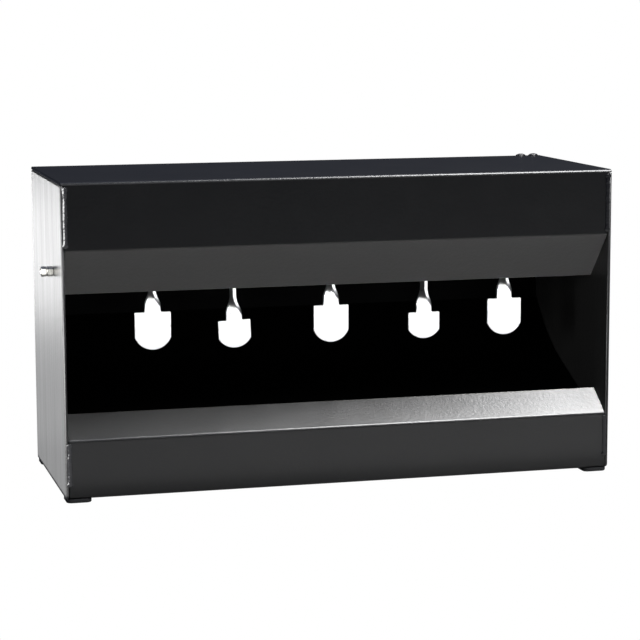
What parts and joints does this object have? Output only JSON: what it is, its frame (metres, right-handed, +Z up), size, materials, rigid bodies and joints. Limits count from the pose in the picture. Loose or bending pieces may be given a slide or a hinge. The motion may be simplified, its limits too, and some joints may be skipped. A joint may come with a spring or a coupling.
{
  "type": "swinging target box",
  "caption": "Folded steel pellet-catching target box with a slanted guard and lip around its mouth, a curved deflector inside and steel paddles swinging on a cross rod.",
  "frame": {"origin": "middle of the object's bounding rectangle, on the surface that the feet stand on", "axes": "+X to the box's right as seen from the front, -Y out of the open front, +Z up"},
  "size_m": [0.3652, 0.1326, 0.196],
  "materials": {
    "case_paint": "semi-gloss black powder coat",
    "weld_paint": "glossy black powder coat over weld beads",
    "zinc_hardware": "bright zinc plating",
    "spacer_steel": "dull drawn steel tube",
    "paddle_steel": "bright plated sheet steel",
    "foot_rubber": "matte black rubber"
  },
  "bodies": {
    "case": {"top_cover": "case_paint", "bottom_tray": "case_paint", "rear_panel": "case_paint", "side_plate_left": "case_paint", "side_plate_right": "case_paint", "deflector": "case_paint", "weld_front_upper_left": "weld_paint", "weld_front_upper_right": "weld_paint", "weld_front_lower_left": "weld_paint", "weld_front_lower_right": "weld_paint", "weld_rear_left": "weld_paint", "weld_rear_right": "weld_paint", "weld_lid_inner": "weld_paint", "weld_lid_outer": "weld_paint", "cross_rod": "zinc_hardware", "nut_left": "zinc_hardware", "nut_right": "zinc_hardware", "locknut_left": "zinc_hardware", "locknut_right": "zinc_hardware", "spacer_tube_1": "spacer_steel", "spacer_tube_2": "spacer_steel", "spacer_tube_3": "spacer_steel", "spacer_tube_4": "spacer_steel", "spacer_tube_5": "spacer_steel", "spacer_tube_6": "spacer_steel", "foot_front_left": "foot_rubber", "foot_front_right": "foot_rubber", "foot_rear_left": "foot_rubber", "foot_rear_right": "foot_rubber"},
    "swing_1": {"paddle_1": "paddle_steel"},
    "swing_2": {"paddle_2": "paddle_steel"},
    "swing_3": {"paddle_3": "paddle_steel"},
    "swing_4": {"paddle_4": "paddle_steel"},
    "swing_5": {"paddle_5": "paddle_steel"}
  },
  "joints": [
    {"name": "paddle_1_swing", "type": "hinge", "parent": "case", "child": "swing_1", "pos_m": [-0.1139, -0.0295, 0.1375], "axis": [1, 0, 0], "range_deg": [-6, 215]},
    {"name": "paddle_2_swing", "type": "hinge", "parent": "case", "child": "swing_2", "pos_m": [-0.0635, -0.0295, 0.1375], "axis": [1, 0, 0], "range_deg": [-6, 215]},
    {"name": "paddle_3_swing", "type": "hinge", "parent": "case", "child": "swing_3", "pos_m": [0.0005, -0.0295, 0.1375], "axis": [1, 0, 0], "range_deg": [-6, 215]},
    {"name": "paddle_4_swing", "type": "hinge", "parent": "case", "child": "swing_4", "pos_m": [0.062, -0.0295, 0.1375], "axis": [1, 0, 0], "range_deg": [-6, 215]},
    {"name": "paddle_5_swing", "type": "hinge", "parent": "case", "child": "swing_5", "pos_m": [0.1162, -0.0295, 0.1375], "axis": [1, 0, 0], "range_deg": [-6, 215]}
  ]
}
